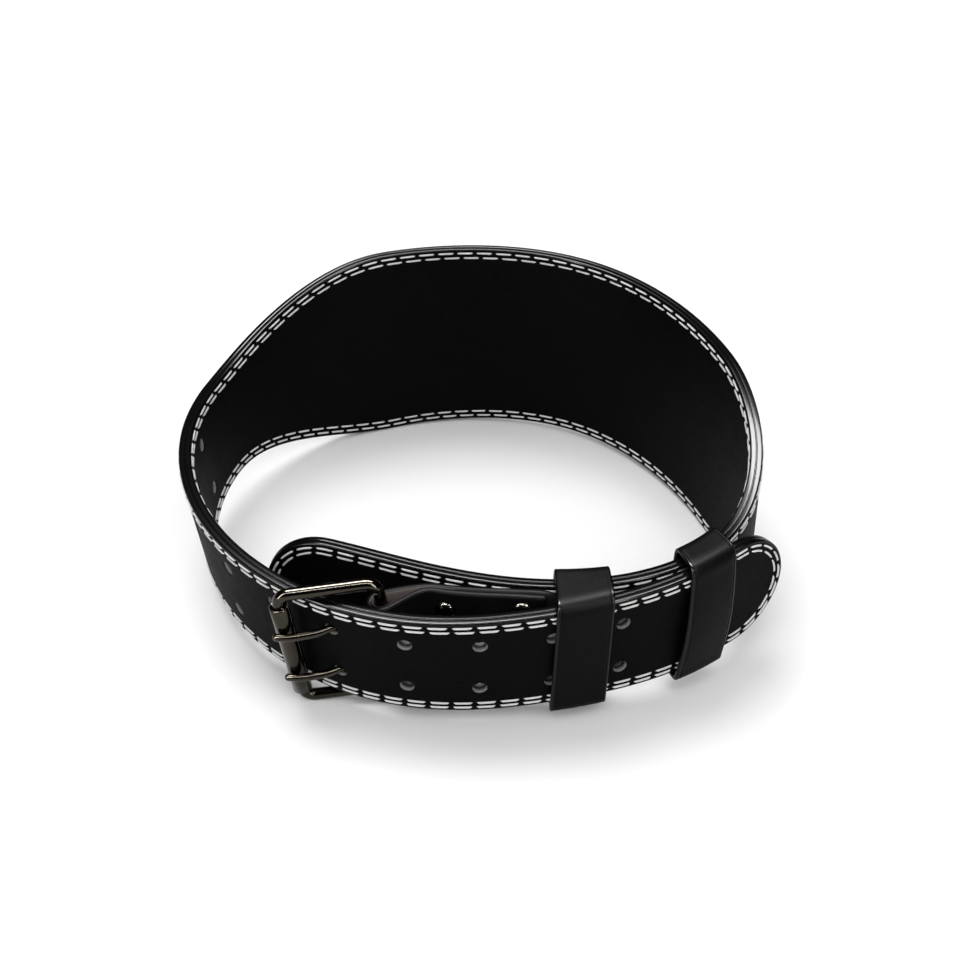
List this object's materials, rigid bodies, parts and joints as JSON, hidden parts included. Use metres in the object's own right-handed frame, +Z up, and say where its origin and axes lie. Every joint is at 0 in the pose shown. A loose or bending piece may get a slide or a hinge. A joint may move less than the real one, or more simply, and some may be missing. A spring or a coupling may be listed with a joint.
{
  "type": "weightlifting belt",
  "caption": "Thick black leather lifting belt with a tall back, standing as a closed loop: roller buckle with prongs, punched billet, leather keepers and white edge stitching.",
  "frame": {"origin": "middle of the footprint, on the surface that the buckled belt stands on", "axes": "+X to the right seen from the buckle side, +Y through the waist to the tall back, +Z up"},
  "size_m": [0.268, 0.2522, 0.1032],
  "materials": {
    "strap_leather": "black leather, fine grain, soft sheen, painted edges, white double stitching",
    "buckle_strap_leather": "black leather with a brown-grey suede flesh side",
    "keeper_leather": "smoother black leather with a satin sheen",
    "buckle_metal": "dark polished nickel",
    "roller_metal": "dark polished nickel, rolled from sheet",
    "rivet_metal": "dark nickel, domed"
  },
  "bodies": {
    "root": {"belt_strap": "strap_leather", "buckle_strap": "buckle_strap_leather", "buckle_frame": "buckle_metal", "roller": "roller_metal", "prong_upper": "buckle_metal", "prong_lower": "buckle_metal", "rivet_near_upper": "rivet_metal", "rivet_near_lower": "rivet_metal", "rivet_far_upper": "rivet_metal", "rivet_far_lower": "rivet_metal", "keeper_fixed": "keeper_leather", "keeper_sliding": "keeper_leather"}
  },
  "joints": []
}
